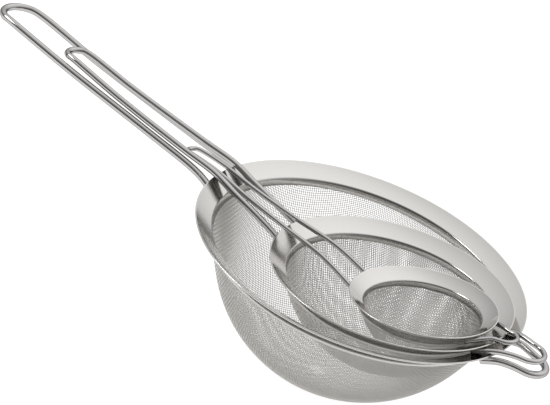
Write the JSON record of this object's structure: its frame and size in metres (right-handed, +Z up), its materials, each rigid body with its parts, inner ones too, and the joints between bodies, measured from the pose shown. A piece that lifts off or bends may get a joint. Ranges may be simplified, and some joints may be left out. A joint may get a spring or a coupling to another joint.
{
  "type": "nested strainer set",
  "caption": "Set of nested fine-mesh bowl strainers with wide sloped rims, long wire loop handles and short wire rest hooks.",
  "frame": {"origin": "centre of the flat spot under the large basket, where the set touches a table", "axes": "+Z up along the large basket's axis, +X from the long handles towards the rest hooks, +Y to the left when looking along +X"},
  "size_m": [0.4556, 0.226, 0.119],
  "materials": {
    "polished_rim": "mirror-polished stainless sheet",
    "woven_mesh": "plain-woven fine stainless wire",
    "clamp_band": "satin stainless strip",
    "polished_wire": "polished round stainless wire"
  },
  "bodies": {
    "large_strainer": {"large_rim": "polished_rim", "large_mesh_basket": "woven_mesh", "large_mesh_clamp_ring": "clamp_band", "large_handle": "polished_wire", "large_rest_hook": "polished_wire"},
    "medium_strainer": {"medium_rim": "polished_rim", "medium_mesh_basket": "woven_mesh", "medium_mesh_clamp_ring": "clamp_band", "medium_handle": "polished_wire", "medium_rest_hook": "polished_wire"},
    "small_strainer": {"small_rim": "polished_rim", "small_mesh_basket": "woven_mesh", "small_mesh_clamp_ring": "clamp_band", "small_handle": "polished_wire", "small_rest_hook": "polished_wire"}
  },
  "joints": [
    {"name": "medium_lift", "type": "slide", "parent": "large_strainer", "child": "medium_strainer", "axis": [0, 0, 1], "range_m": [0, 0.1]},
    {"name": "small_lift", "type": "slide", "parent": "medium_strainer", "child": "small_strainer", "axis": [0, 0, 1], "range_m": [0, 0.085]}
  ]
}
